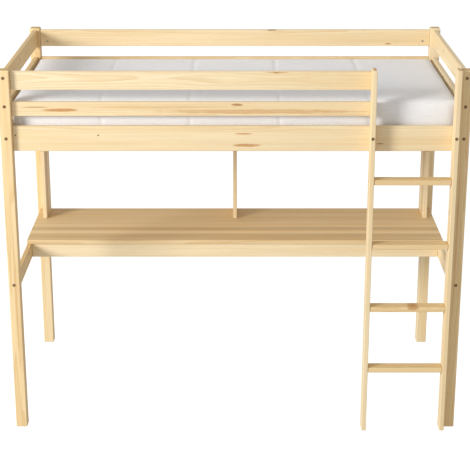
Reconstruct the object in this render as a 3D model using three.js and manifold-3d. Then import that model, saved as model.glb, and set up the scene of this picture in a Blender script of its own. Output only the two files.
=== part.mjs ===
// A pine loft bed for a 90 x 200 cm mattress, with a desk and a shelf under it and a fixed ladder.
// Millimetres, +Z up. +X runs along the bed, +Y from the ladder side to the wall side.
// The origin is on the floor, under the middle of the whole piece of furniture.

import * as THREE from 'three';
import { mergeVertices } from 'three/addons/utils/BufferGeometryUtils.js';
import Module from 'manifold-3d';

const wasm = await Module();
wasm.setup();

// ---- driving dimensions ----

const BED_LENGTH = 2090;           // outer faces of the posts, along X
const POST_WIDTH = 52;             // along X
const POST_DEPTH = 52;             // along Y
const POST_HEIGHT = 1740;
const CLEAR_DEPTH = 918;           // between the front and the rear posts
const BOARD = 22;                  // thickness of guard boards, rails and stringers
const LONG_BOARD_SET_BACK = 24;    // from the post's outer face to the long board's outer face
const END_BOARD_SET_BACK = 15;     // the same on the two ends
const FIT = 0.3;                   // gap kept between pieces that touch

const TOP_GUARD = { low: 1646, high: 1730 };
const SECOND_GUARD = { low: 1527, high: 1591 };
const BED_RAIL = { low: 1365, high: 1481 };
const DESK_RAIL = { low: 681, high: 755 };

const STRINGER_DEPTH = 64;
const STRINGER_TOP = 1748;
const LADDER_WIDTH = 392;          // over the stringers
const RUNG_THICKNESS = 24;
const RUNG_DEPTH = 58;
const RUNG_TOPS = [325, 632, 939, 1246];

const MATTRESS = { length: 2000, width: 900, thickness: 160 };
const SLAT_THICKNESS = 18;
const SLAT_WIDTH = 70;
const SLAT_COUNT = 13;
const LEDGER = { width: 28, height: 30 };

const DESK_DEPTH = 496;
const DESK_THICKNESS = 20;
const DESK_APRON_SET_BACK = 12;
const SHELF_DEPTH = 167;
const SHELF_CLEAR_HEIGHT = 362;
const SHELF_THICKNESS = 20;

const BOLT_RADIUS = 3;
const BOLT_HEAD_RADIUS = 5;
const BOLT_HEAD_HEIGHT = 4;
const BOLT_SINK = 6;               // how deep the head's pocket is
const BOLT_REACH = 44;             // how far a post bolt runs into the end of a board
const NUT_RADIUS = 5;
const NUT_INSET = 36;              // from the board's end to the middle of its cross-dowel nut
const END_BOLT_HEIGHTS = { top_guard: 1704, second_guard: 1575, bed_rail: 1428, desk_rail: 727 };
const LONG_BOLT_HEIGHTS = { top_guard: 1672, second_guard: 1543, bed_rail: 1396 };
const LADDER_BOLT_HEIGHT = 1438;
const TOP_ROUNDING = 9;            // of the tops of posts and stringers

// ---- planes worked out from them ----

const OVERALL_DEPTH = 2 * POST_DEPTH + CLEAR_DEPTH + STRINGER_DEPTH - LONG_BOARD_SET_BACK;
const REAR_FACE = OVERALL_DEPTH / 2;
const REAR_POST_FRONT = REAR_FACE - POST_DEPTH;
const FRONT_POST_BACK = REAR_POST_FRONT - CLEAR_DEPTH;
const FRONT_FACE = FRONT_POST_BACK - POST_DEPTH;
const POST_INNER_X = BED_LENGTH / 2 - POST_WIDTH;
const END_BOARD_OUTER_X = BED_LENGTH / 2 - END_BOARD_SET_BACK;
const END_BOARD_INNER_X = END_BOARD_OUTER_X - BOARD;
const END_BOARD_MIDDLE_X = END_BOARD_OUTER_X - BOARD / 2;
const FRONT_BOARD_FRONT = FRONT_FACE + LONG_BOARD_SET_BACK;
const FRONT_BOARD_BACK = FRONT_BOARD_FRONT + BOARD;
const REAR_BOARD_BACK = REAR_FACE - LONG_BOARD_SET_BACK;
const REAR_BOARD_FRONT = REAR_BOARD_BACK - BOARD;
const LADDER_RIGHT_X = POST_INNER_X - 1;
const LADDER_LEFT_X = LADDER_RIGHT_X - LADDER_WIDTH;
const DESK_FRONT = REAR_POST_FRONT - FIT - DESK_DEPTH;
const DESK_TOP = DESK_RAIL.high + FIT + DESK_THICKNESS;
const SLEEP_MIDDLE_Y = (FRONT_POST_BACK + REAR_POST_FRONT) / 2;

const MATTRESS_TOP = 1590;
const SLAT_TOP = MATTRESS_TOP - MATTRESS.thickness - FIT;
const LEDGER_TOP = SLAT_TOP - SLAT_THICKNESS - FIT;

// ---- materials ----

const pine = (colour) => new THREE.MeshStandardMaterial({ color: colour, roughness: 0.55, metalness: 0 });
const finishes = {
  post: () => pine(0xf2d9b0),
  board: () => pine(0xf4dcb4),
  panel: () => pine(0xe0bf8d),
  slat: () => pine(0xe8cfa4),
  bolt: () => new THREE.MeshStandardMaterial({ color: 0x6b5138, roughness: 0.4, metalness: 0.8 }),
  ticking: () => new THREE.MeshStandardMaterial({ color: 0xdedad6, roughness: 0.9, metalness: 0 }),
};

// ---- geometry ----

/** Keeps only the positions and merges shared corners, ready to become a solid. */
function weld(geometry) {
  const bare = geometry.clone();
  bare.deleteAttribute('normal');
  bare.deleteAttribute('uv');
  return mergeVertices(bare, 1e-4);
}

function solidOf(geometry) {
  const welded = weld(geometry);
  return new wasm.Manifold(new wasm.Mesh({
    numProp: 3,
    vertProperties: new Float32Array(welded.attributes.position.array),
    triVerts: new Uint32Array(welded.index.array),
  }));
}

function geometryOf(solid) {
  const mesh = solid.getMesh();
  const geometry = new THREE.BufferGeometry();
  geometry.setAttribute('position', new THREE.BufferAttribute(mesh.vertProperties, 3));
  geometry.setIndex(new THREE.BufferAttribute(mesh.triVerts, 1));
  return geometry;
}

/** A squared timber between two corners, its long edges and ends broken by a small chamfer. */
function timber(low, high, chamfer = 2.5) {
  const [width, depth, height] = high.map((value, axis) => value - low[axis]);
  const outline = new THREE.Shape();
  outline.moveTo(0, 0);
  outline.lineTo(width - 2 * chamfer, 0);
  outline.lineTo(width - 2 * chamfer, depth - 2 * chamfer);
  outline.lineTo(0, depth - 2 * chamfer);
  outline.closePath();
  const geometry = new THREE.ExtrudeGeometry(outline, {
    depth: height - 2 * chamfer,
    bevelEnabled: true,
    bevelThickness: chamfer,
    bevelSize: chamfer,
    bevelSegments: 1,
  });
  return geometry.translate(low[0] + chamfer, low[1] + chamfer, low[2] + chamfer);
}

/** A slab standing on XY, width along X, with its two top corners rounded. */
function archedSlab(width, thickness, height, radius) {
  const half = width / 2;
  const outline = new THREE.Shape();
  outline.moveTo(-half, 0);
  outline.lineTo(half, 0);
  outline.absarc(half - radius, height - radius, radius, 0, Math.PI / 2);
  outline.absarc(radius - half, height - radius, radius, Math.PI / 2, Math.PI);
  outline.closePath();
  const geometry = new THREE.ExtrudeGeometry(outline, { depth: thickness, bevelEnabled: false, curveSegments: 4 });
  return geometry.rotateX(Math.PI / 2).translate(0, thickness / 2, 0);
}

/** An upright timber whose top is rounded over on all four sides. */
function uprightTimber(low, high, chamfer) {
  const [width, depth, height] = high.map((value, axis) => value - low[axis]);
  const spare = 20;
  const column = timber(low, [high[0], high[1], high[2] + spare], chamfer);
  const overWidth = archedSlab(width, depth + spare, height, TOP_ROUNDING);
  const overDepth = archedSlab(depth, width + spare, height, TOP_ROUNDING).rotateZ(Math.PI / 2);
  const middle = [(low[0] + high[0]) / 2, (low[1] + high[1]) / 2, low[2]];
  return solidOf(column)
    .intersect(solidOf(overWidth.translate(...middle)))
    .intersect(solidOf(overDepth.translate(...middle)));
}

/** A rod or a drill between two points. */
function rod(from, to, radius, sides = 12) {
  const start = new THREE.Vector3(...from);
  const reach = new THREE.Vector3(...to).sub(start);
  const turn = new THREE.Quaternion().setFromUnitVectors(
    new THREE.Vector3(0, 1, 0), reach.clone().normalize());
  const geometry = new THREE.CylinderGeometry(radius, radius, reach.length(), sides);
  geometry.applyQuaternion(turn);
  return geometry.translate(...start.addScaledVector(reach, 0.5).toArray());
}

/** A bolt whose head's outer face is at `from`; the shank points at `to`. */
function boltShape(from, to) {
  const start = new THREE.Vector3(...from);
  const direction = new THREE.Vector3(...to).sub(start).normalize();
  const underHead = start.clone().addScaledVector(direction, BOLT_HEAD_HEIGHT);
  const head = solidOf(rod(from, underHead.toArray(), BOLT_HEAD_RADIUS));
  const shank = solidOf(rod(start.addScaledVector(direction, 1).toArray(), to, BOLT_RADIUS, 8));
  return geometryOf(head.add(shank));
}

function drilled(solid, drills) {
  return geometryOf(drills.reduce((body, drill) => body.subtract(solidOf(drill)), solid));
}

// ---- assembly ----

const bed = new THREE.Group();

function place(name, geometry, finish) {
  const mesh = new THREE.Mesh(geometry, finishes[finish]());
  mesh.name = name;
  bed.add(mesh);
}

/** The two sides of the bed: -1 is the left end, +1 is the right end. */
const ENDS = [['left', -1], ['right', 1]];

const span = (a, b) => [Math.min(a, b), Math.max(a, b)];

/** A point a given way from another, along a unit direction. */
const along = (point, direction, distance) => point.map((value, axis) => value + direction[axis] * distance);

/** The pocket for a bolt's head and the hole for its shank, from a point on a face inwards. */
function boltBores(point, inward, depth) {
  return [
    rod(along(point, inward, -1), along(point, inward, BOLT_SINK + FIT), BOLT_HEAD_RADIUS + 1),
    rod(point, along(point, inward, depth), BOLT_RADIUS + 0.5, 8),
  ];
}

/** The hole for a bolt in a board's end, and the blind hole for its nut from the board's inner face. */
function jointBores(end, inward, toOuterFace) {
  const nut = along(end, inward, NUT_INSET);
  return [
    rod(along(end, inward, -1), along(end, inward, BOLT_REACH + 2), BOLT_RADIUS + 0.5, 8),
    rod(along(nut, toOuterFace, -BOARD / 2 - 1), along(nut, toOuterFace, BOARD / 2 - 4), NUT_RADIUS + 0.3),
  ];
}

/** One post: bolts go through it into the end boards (along Y) and into the long boards (along X). */
function post(side, low, high, face, inward, longBoardY) {
  const endBolts = Object.values(END_BOLT_HEIGHTS).flatMap((z) => boltBores(
    [side * END_BOARD_MIDDLE_X, face, z], [0, inward, 0], POST_DEPTH + 1));
  const longBolts = Object.values(LONG_BOLT_HEIGHTS).flatMap((z) => boltBores(
    [side * BED_LENGTH / 2, longBoardY, z], [-side, 0, 0], POST_WIDTH + 1));
  return drilled(uprightTimber(low, high, 4), [...endBolts, ...longBolts]);
}

function addPosts() {
  const frontBoardY = FRONT_BOARD_FRONT + BOARD / 2;
  const rearBoardY = REAR_BOARD_FRONT + BOARD / 2;
  for (const [end, side] of ENDS) {
    const [x0, x1] = span(side * POST_INNER_X, side * BED_LENGTH / 2);
    place(`post_front_${end}`,
      post(side, [x0, FRONT_FACE, 0], [x1, FRONT_POST_BACK, POST_HEIGHT], FRONT_FACE, 1, frontBoardY), 'post');
    place(`post_rear_${end}`,
      post(side, [x0, REAR_POST_FRONT, 0], [x1, REAR_FACE, POST_HEIGHT], REAR_FACE, -1, rearBoardY), 'post');
  }
}

/** A board between the two posts of one end. */
function endBoard(side, level, boltHeight) {
  const [x0, x1] = span(side * END_BOARD_INNER_X, side * END_BOARD_OUTER_X);
  const front = FRONT_POST_BACK + FIT;
  const back = REAR_POST_FRONT - FIT;
  const x = side * END_BOARD_MIDDLE_X;
  const outwards = [side, 0, 0];
  return drilled(solidOf(timber([x0, front, level.low], [x1, back, level.high])), [
    ...jointBores([x, front, boltHeight], [0, 1, 0], outwards),
    ...jointBores([x, back, boltHeight], [0, -1, 0], outwards),
  ]);
}

function addEndBoards() {
  const levels = { top_guard: TOP_GUARD, second_guard: SECOND_GUARD, bed_rail: BED_RAIL, desk_rail: DESK_RAIL };
  for (const [end, side] of ENDS) {
    for (const [kind, level] of Object.entries(levels)) {
      place(`${kind}_${end}`, endBoard(side, level, END_BOLT_HEIGHTS[kind]), 'board');
    }
  }
}

/** Two holes through the front bed rail at each end, so that the ladder fits either end. */
function ladderHoles() {
  const distances = [LADDER_LEFT_X + BOARD / 2, LADDER_RIGHT_X - BOARD / 2];
  return distances.flatMap((x) => [-x, x]).map((x) => rod(
    [x, FRONT_BOARD_FRONT - 1, LADDER_BOLT_HEIGHT],
    [x, FRONT_BOARD_BACK + 1, LADDER_BOLT_HEIGHT], BOLT_RADIUS + 0.5));
}

/** A board along the bed, bolted to both posts or to the left post only. */
function longBoard(front, right, level, boltHeight, outwards, extraDrills = []) {
  const left = -POST_INNER_X + FIT;
  const middle = front + BOARD / 2;
  const drills = jointBores([left, middle, boltHeight], [1, 0, 0], outwards);
  if (right > LADDER_LEFT_X + BOARD) {
    drills.push(...jointBores([right, middle, boltHeight], [-1, 0, 0], outwards));
  }
  return drilled(solidOf(timber([left, front, level.low], [right, front + BOARD, level.high])),
    [...drills, ...extraDrills]);
}

function addLongBoards() {
  const right = POST_INNER_X - FIT;
  const guardEnd = LADDER_LEFT_X + BOARD;
  const front = (level, end, height, holes) => longBoard(FRONT_BOARD_FRONT, end, level, height, [0, -1, 0], holes);
  const rear = (level, height) => longBoard(REAR_BOARD_FRONT, right, level, height, [0, 1, 0]);
  const heights = LONG_BOLT_HEIGHTS;
  place('top_guard_front', front(TOP_GUARD, guardEnd, heights.top_guard), 'board');
  place('second_guard_front', front(SECOND_GUARD, guardEnd, heights.second_guard), 'board');
  place('bed_rail_front', front(BED_RAIL, right, heights.bed_rail, ladderHoles()), 'board');
  place('top_guard_rear', rear(TOP_GUARD, heights.top_guard), 'board');
  place('second_guard_rear', rear(SECOND_GUARD, heights.second_guard), 'board');
  place('bed_rail_rear', rear(BED_RAIL, heights.bed_rail), 'board');
}

function addLedgers() {
  const reach = POST_INNER_X - 30;
  const low = LEDGER_TOP - LEDGER.height;
  const frontFace = FRONT_BOARD_BACK + FIT;
  const rearFace = REAR_BOARD_FRONT - FIT;
  place('slat_ledger_front', timber([-reach, frontFace, low], [reach, frontFace + LEDGER.width, LEDGER_TOP]), 'slat');
  place('slat_ledger_rear', timber([-reach, rearFace - LEDGER.width, low], [reach, rearFace, LEDGER_TOP]), 'slat');
}

function addSlats() {
  const firstX = -POST_INNER_X + 55;
  const pitch = -2 * firstX / (SLAT_COUNT - 1);
  const low = SLAT_TOP - SLAT_THICKNESS;
  for (let i = 0; i < SLAT_COUNT; i += 1) {
    const x = firstX + i * pitch;
    const name = `slat_${String(i + 1).padStart(2, '0')}`;
    const from = [x - SLAT_WIDTH / 2, FRONT_BOARD_BACK + 4, low];
    const to = [x + SLAT_WIDTH / 2, REAR_BOARD_FRONT - 4, SLAT_TOP];
    place(name, timber(from, to, 1.5), 'slat');
  }
}

/** The mattress as one plain block with rounded corners; its seams and crown are finished elsewhere. */
function addMattress() {
  const corner = 30;
  const edge = 18;
  const halfLength = MATTRESS.length / 2 - edge;
  const halfWidth = MATTRESS.width / 2 - edge;
  const outline = new THREE.Shape();
  outline.moveTo(-halfLength + corner, -halfWidth);
  outline.absarc(halfLength - corner, -halfWidth + corner, corner, -Math.PI / 2, 0);
  outline.absarc(halfLength - corner, halfWidth - corner, corner, 0, Math.PI / 2);
  outline.absarc(-halfLength + corner, halfWidth - corner, corner, Math.PI / 2, Math.PI);
  outline.absarc(-halfLength + corner, -halfWidth + corner, corner, Math.PI, 1.5 * Math.PI);
  const geometry = new THREE.ExtrudeGeometry(outline, {
    depth: MATTRESS.thickness - 2 * edge,
    bevelEnabled: true,
    bevelThickness: edge,
    bevelSize: edge,
    bevelSegments: 3,
    curveSegments: 4,
  });
  geometry.translate(0, SLEEP_MIDDLE_Y, MATTRESS_TOP - MATTRESS.thickness + edge);
  place('mattress', geometryOf(solidOf(geometry)), 'ticking');
}

function addDesk() {
  const back = REAR_POST_FRONT - FIT;
  const underside = DESK_RAIL.high + FIT;
  const apronHalf = END_BOARD_INNER_X - FIT;
  const apronLow = DESK_RAIL.low + 2;
  const apronHigh = DESK_RAIL.high;
  const apronFront = DESK_FRONT + DESK_APRON_SET_BACK;
  place('desk_top',
    timber([-END_BOARD_OUTER_X, DESK_FRONT, underside], [END_BOARD_OUTER_X, back, DESK_TOP], 2), 'panel');
  place('desk_apron_front',
    timber([-apronHalf, apronFront, apronLow], [apronHalf, apronFront + BOARD, apronHigh]), 'board');
  place('desk_apron_rear',
    timber([-apronHalf, back - BOARD, apronLow], [apronHalf, back, apronHigh]), 'board');
}

function addShelf() {
  const back = REAR_POST_FRONT - FIT;
  const front = back - SHELF_DEPTH;
  const foot = DESK_TOP + FIT;
  const top = foot + SHELF_CLEAR_HEIGHT;
  const outer = POST_INNER_X;
  const uprights = {
    left: -outer,
    middle: -SHELF_THICKNESS / 2,
    right: outer - SHELF_THICKNESS,
  };
  for (const [where, x] of Object.entries(uprights)) {
    place(`shelf_upright_${where}`,
      timber([x, front, foot], [x + SHELF_THICKNESS, back, top], 1.5), 'panel');
  }
  place('shelf_board',
    timber([-outer, front, top + FIT], [outer, back, top + FIT + SHELF_THICKNESS], 1.5), 'panel');
}

/** One stringer: a plank on edge with a rounded top, bored for the bolt that holds it to the bed rail. */
function stringer(x) {
  const back = FRONT_BOARD_FRONT - FIT;
  const front = FRONT_BOARD_FRONT - STRINGER_DEPTH;
  const boltPoint = [x + BOARD / 2, front, LADDER_BOLT_HEIGHT];
  return drilled(uprightTimber([x, front, 0], [x + BOARD, back, STRINGER_TOP], 3),
    boltBores(boltPoint, [0, 1, 0], STRINGER_DEPTH + 1));
}

function addLadder() {
  place('ladder_stringer_left', stringer(LADDER_LEFT_X), 'board');
  place('ladder_stringer_right', stringer(LADDER_RIGHT_X - BOARD), 'board');
  const front = FRONT_BOARD_FRONT - STRINGER_DEPTH + (STRINGER_DEPTH - RUNG_DEPTH) / 2;
  RUNG_TOPS.forEach((top, index) => {
    place(`rung_${index + 1}`, timber(
      [LADDER_LEFT_X + BOARD + FIT, front, top - RUNG_THICKNESS],
      [LADDER_RIGHT_X - BOARD - FIT, front + RUNG_DEPTH, top], 2.5), 'board');
  });
}

function addPostBolts() {
  const headFace = FRONT_FACE + BOLT_SINK - BOLT_HEAD_HEIGHT;
  const tip = FRONT_POST_BACK + FIT + BOLT_REACH;
  for (const [end, side] of ENDS) {
    for (const [kind, z] of Object.entries(END_BOLT_HEIGHTS)) {
      const x = side * END_BOARD_MIDDLE_X;
      place(`bolt_${kind}_${end}`, boltShape([x, headFace, z], [x, tip, z]), 'bolt');
    }
  }
}

function addLadderBolts() {
  const front = FRONT_BOARD_FRONT - STRINGER_DEPTH;
  const middles = { left: LADDER_LEFT_X + BOARD / 2, right: LADDER_RIGHT_X - BOARD / 2 };
  for (const [where, x] of Object.entries(middles)) {
    const headFace = front + BOLT_SINK - BOLT_HEAD_HEIGHT;
    place(`ladder_bolt_${where}`, boltShape(
      [x, headFace, LADDER_BOLT_HEIGHT],
      [x, FRONT_BOARD_BACK - 2, LADDER_BOLT_HEIGHT]), 'bolt');
  }
}

addPosts();
addLongBoards();
addEndBoards();
addLedgers();
addSlats();
addMattress();
addDesk();
addShelf();
addLadder();
addPostBolts();
addLadderBolts();

export default bed;
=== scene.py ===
"""A pine loft bed for a 90 x 200 cm mattress, with a desk and a shelf under it and a fixed ladder.

The sections follow the work: the studio, then the posts, the boards, the slats, the desk and its
shelf, the ladder, the fasteners and last the mattress.
"""

import math
import random

import bmesh
import bpy
import numpy as np
from mathutils import Matrix, Vector, noise
from mathutils.bvhtree import BVHTree


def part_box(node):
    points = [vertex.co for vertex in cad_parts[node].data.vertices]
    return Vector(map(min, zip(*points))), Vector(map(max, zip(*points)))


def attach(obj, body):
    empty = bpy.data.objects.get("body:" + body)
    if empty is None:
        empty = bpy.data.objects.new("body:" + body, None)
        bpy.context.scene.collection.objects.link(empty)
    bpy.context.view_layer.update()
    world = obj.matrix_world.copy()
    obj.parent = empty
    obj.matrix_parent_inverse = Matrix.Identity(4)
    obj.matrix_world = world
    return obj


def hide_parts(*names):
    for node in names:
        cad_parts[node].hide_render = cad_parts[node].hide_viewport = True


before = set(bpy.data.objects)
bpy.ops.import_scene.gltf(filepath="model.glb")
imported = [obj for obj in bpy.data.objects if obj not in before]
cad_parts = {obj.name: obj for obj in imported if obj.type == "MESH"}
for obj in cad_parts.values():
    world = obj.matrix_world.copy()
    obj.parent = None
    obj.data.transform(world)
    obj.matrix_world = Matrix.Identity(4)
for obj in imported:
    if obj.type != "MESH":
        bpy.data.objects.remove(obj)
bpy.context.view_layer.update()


# ---- The studio ----
# A plain pale floor under an even white sky, with one big soft key light low at the front left, which
# throws the shadow of each upright across the boards behind it.

KEY_PLACE = Vector((-7.5, -6.2, 4.3))
KEY_AIM = Vector((0.0, 0.0, 1.2))
KEY_POWER = 845.0
KEY_WIDTH = 3.3
SKY_FILL = 0.58
CAMERA_PLACE = (0.0, -6.152, 3.019)
CAMERA_DOWN = 17.82                        # degrees below level
CAMERA_LENS = 101.1
CAMERA_SHIFT = -0.10


def put(tree, kind, inputs=None, **settings):
    """Adds a node to a tree; each input is given a plain value or another node's socket."""
    node = tree.nodes.new("ShaderNode" + kind)
    for name, value in settings.items():
        setattr(node, name, value)
    for name, value in (inputs or {}).items():
        if isinstance(value, bpy.types.NodeSocket):
            tree.links.new(value, node.inputs[name])
        else:
            node.inputs[name].default_value = value
    return node


def blank_material(name):
    """A new material with no nodes in it; returns the material and its node tree."""
    material = bpy.data.materials.new(name)
    material.use_nodes = True
    material.node_tree.nodes.clear()
    return material, material.node_tree


def build_sky(scene):
    world = bpy.data.worlds.new("studio_sky")
    world.use_nodes = True
    tree = world.node_tree
    tree.nodes.clear()
    seen = put(tree, "LightPath").outputs["Is Camera Ray"]
    fill = put(tree, "Background", {"Color": (1, 1, 1, 1), "Strength": SKY_FILL})
    backdrop = put(tree, "Background", {"Color": (1, 1, 1, 1), "Strength": 1.0})
    both = put(tree, "MixShader", {0: seen, 1: fill.outputs[0], 2: backdrop.outputs[0]})
    put(tree, "OutputWorld", {"Surface": both.outputs[0]})
    scene.world = world


def build_floor(scene):
    mesh = bmesh.new()
    bmesh.ops.create_grid(mesh, x_segments=1, y_segments=1, size=30)
    shape = bpy.data.meshes.new("floor")
    mesh.to_mesh(shape)
    mesh.free()
    floor = bpy.data.objects.new("floor", shape)
    scene.collection.objects.link(floor)
    paint, tree = blank_material("pale_floor")
    seen = put(tree, "LightPath").outputs["Is Camera Ray"]
    matt = put(tree, "BsdfDiffuse", {"Color": (0.25, 0.25, 0.25, 1)})
    glow = put(tree, "MapRange", {"Value": seen, "To Min": 0.37, "To Max": 0.92})
    lift = put(tree, "Emission", {"Color": (1, 1, 1, 1), "Strength": glow.outputs[0]})
    both = put(tree, "AddShader", {0: matt.outputs[0], 1: lift.outputs[0]})
    put(tree, "OutputMaterial", {"Surface": both.outputs[0]})
    shape.materials.append(paint)


def build_key(scene):
    lamp = bpy.data.lights.new("key", "AREA")
    lamp.shape = "DISK"
    lamp.size = KEY_WIDTH
    lamp.energy = KEY_POWER
    key = bpy.data.objects.new("key", lamp)
    key.location = KEY_PLACE
    key.rotation_euler = (KEY_AIM - KEY_PLACE).to_track_quat("-Z", "Y").to_euler()
    scene.collection.objects.link(key)


def build_camera(scene):
    lens = bpy.data.cameras.new("camera")
    lens.lens = CAMERA_LENS
    lens.shift_y = CAMERA_SHIFT
    lens.clip_end = 100
    camera = bpy.data.objects.new("camera", lens)
    camera.location = CAMERA_PLACE
    camera.rotation_euler = (math.radians(90 - CAMERA_DOWN), 0, 0)
    scene.collection.objects.link(camera)
    scene.camera = camera


scene = bpy.context.scene
scene.view_settings.view_transform = "Standard"
build_sky(scene)
build_floor(scene)
build_key(scene)
build_camera(scene)


# ---- The four posts ----
# Square pine, 52 x 52 mm and 1740 mm high, planed and sanded, with the top rounded over on all four
# sides. Bolts sit in pockets: from the front or the rear into the end boards, from the sides into the
# long boards.

POST_ARRIS = 0.004
TOP_ROUNDING = 0.009
POCKET_RADIUS = 0.0075
POCKET_DEPTH = 0.0063
SHANK_HOLE = 0.0035
BROKEN_RIM = 0.0007                        # the small chamfer round a hole's mouth
OVERCUT = 0.002                            # how far outside the wood a tool starts
BREAKTHROUGH = 0.001                       # how far it goes on when a hole runs right through
TRIM = 0.02                                # spare length that the rounding of a top cuts away
LONG_BOLT_HEIGHTS = {"top_guard": 1.672, "second_guard": 1.543, "bed_rail": 1.396}
LEVELS = ("top_guard", "second_guard", "bed_rail", "desk_rail")
AXES = {"X": Vector((1, 0, 0)), "Y": Vector((0, 1, 0)), "Z": Vector((0, 0, 1))}


def maths(tree, operation, *values):
    """One sum on plain values or sockets."""
    node = put(tree, "Math", dict(enumerate(values)), operation=operation)
    return node.outputs[0]


def scaled(tree, vector, share):
    """A vector or a colour times one value."""
    return put(tree, "VectorMath", {0: vector, "Scale": share}, operation="SCALE").outputs[0]


def vectors(tree, operation, *values):
    """One sum on vectors."""
    node = put(tree, "VectorMath", dict(enumerate(values)), operation=operation)
    return node.outputs[1 if operation == "LENGTH" else 0]


def smooth_step(tree, value, low, high, at_low=0.0, at_high=1.0):
    """Eases from at_low to at_high as the value goes from low to high."""
    node = put(tree, "MapRange", {0: value, 1: low, 2: high, 3: at_low, 4: at_high},
               interpolation_type="SMOOTHSTEP")
    return node.outputs[0]


def stretched_noise(tree, vector, stretch, seed, detail=2.0, output="Fac"):
    """Noise drawn out along the grain; stretch is how fast it changes each way, per metre."""
    drawn_out = vectors(tree, "MULTIPLY", vector, stretch)
    node = put(tree, "TexNoise", {"Vector": drawn_out, "W": seed, "Scale": 1.0, "Detail": detail},
               noise_dimensions="4D")
    return node.outputs[output]


def new_group(name, inputs, outputs):
    """A node group with named sockets; returns its tree, its input sockets and its output node."""
    tree = bpy.data.node_groups.new(name, "ShaderNodeTree")
    for way, sockets in (("INPUT", inputs), ("OUTPUT", outputs)):
        for socket, kind in sockets.items():
            tree.interface.new_socket(socket, in_out=way, socket_type="NodeSocket" + kind)
    entry = tree.nodes.new("NodeGroupInput")
    leave = tree.nodes.new("NodeGroupOutput")
    return tree, entry.outputs, leave


def mixed(tree, share, first, second, blend="MIX"):
    """Two colours blended."""
    node = put(tree, "Mix", {0: share, 6: first, 7: second}, data_type="RGBA", blend_type=blend)
    return node.outputs[2]


def build_grain_group():
    """Pine as it grows: yearly rings round a heart that runs beside the board, streaks and fibres."""
    tree, given, leave = new_group("pine_grain", {
        "Vector": "Vector", "Seed": "Float", "Heart": "Vector", "Ring Width": "Float", "Swirl": "Float",
        "Early Wood": "Color", "Late Wood": "Color", "Streak": "Color", "Streaks": "Float",
    }, {"Color": "Color", "Roughness": "Float", "Height": "Float"})
    place, seed = given["Vector"], given["Seed"]
    drift = stretched_noise(tree, place, (0.9, 2.5, 2.5), seed, 2.0, "Color")
    drift = vectors(tree, "SUBTRACT", drift, (0.5, 0.5, 0.5))
    drift = vectors(tree, "MULTIPLY", drift, (0.0, 0.022, 0.035))
    from_heart = vectors(tree, "SUBTRACT", vectors(tree, "ADD", place, drift), given["Heart"])
    radius = vectors(tree, "LENGTH", vectors(tree, "MULTIPLY", from_heart, (0.0, 1.0, 1.0)))
    ripple = stretched_noise(tree, place, (6.0, 50.0, 50.0), maths(tree, "ADD", seed, 3.1), 3.0)
    ripple = maths(tree, "MULTIPLY", maths(tree, "SUBTRACT", ripple, 0.5), 0.004)
    radius = maths(tree, "ADD", maths(tree, "ADD", radius, ripple), given["Swirl"])
    uneven = put(tree, "TexNoise", {
        "W": maths(tree, "MULTIPLY_ADD", radius, 60.0, seed), "Scale": 1.0, "Detail": 1.0},
        noise_dimensions="1D").outputs[0]
    rings = maths(tree, "DIVIDE", radius, given["Ring Width"])
    rings = maths(tree, "ADD", rings, maths(tree, "MULTIPLY", uneven, 2.4))
    year = maths(tree, "FRACT", rings)
    late = maths(tree, "MULTIPLY", smooth_step(tree, year, 0.25, 0.92),
                 smooth_step(tree, year, 0.94, 1.0, 1.0, 0.0))
    depth = stretched_noise(tree, place, (1.2, 18.0, 18.0), maths(tree, "ADD", seed, 7.7), 2.0)
    late = maths(tree, "MULTIPLY", late, smooth_step(tree, depth, 0.2, 0.75, 0.22, 0.72))
    streak = stretched_noise(tree, place, (0.7, 26.0, 26.0), maths(tree, "ADD", seed, 11.3), 3.0)
    streak = maths(tree, "MULTIPLY", smooth_step(tree, streak, 0.44, 0.68), given["Streaks"])
    fibre = stretched_noise(tree, place, (16.0, 650.0, 650.0), maths(tree, "ADD", seed, 23.9), 2.0)
    line = stretched_noise(tree, place, (2.4, 150.0, 150.0), maths(tree, "ADD", seed, 31.0), 3.0)
    colour = mixed(tree, late, given["Early Wood"], given["Late Wood"])
    colour = mixed(tree, streak, colour, given["Streak"])
    shade = maths(tree, "ADD", smooth_step(tree, fibre, 0.2, 0.8, -0.03, 0.03),
                  smooth_step(tree, line, 0.25, 0.75, 0.955, 1.035))
    tree.links.new(scaled(tree, colour, shade), leave.inputs["Color"])
    rough = maths(tree, "MULTIPLY_ADD", late, -0.10, smooth_step(tree, fibre, 0.2, 0.8, 0.50, 0.62))
    tree.links.new(rough, leave.inputs["Roughness"])
    tree.links.new(maths(tree, "MULTIPLY_ADD", late, 0.6, fibre), leave.inputs["Height"])
    return tree


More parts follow.
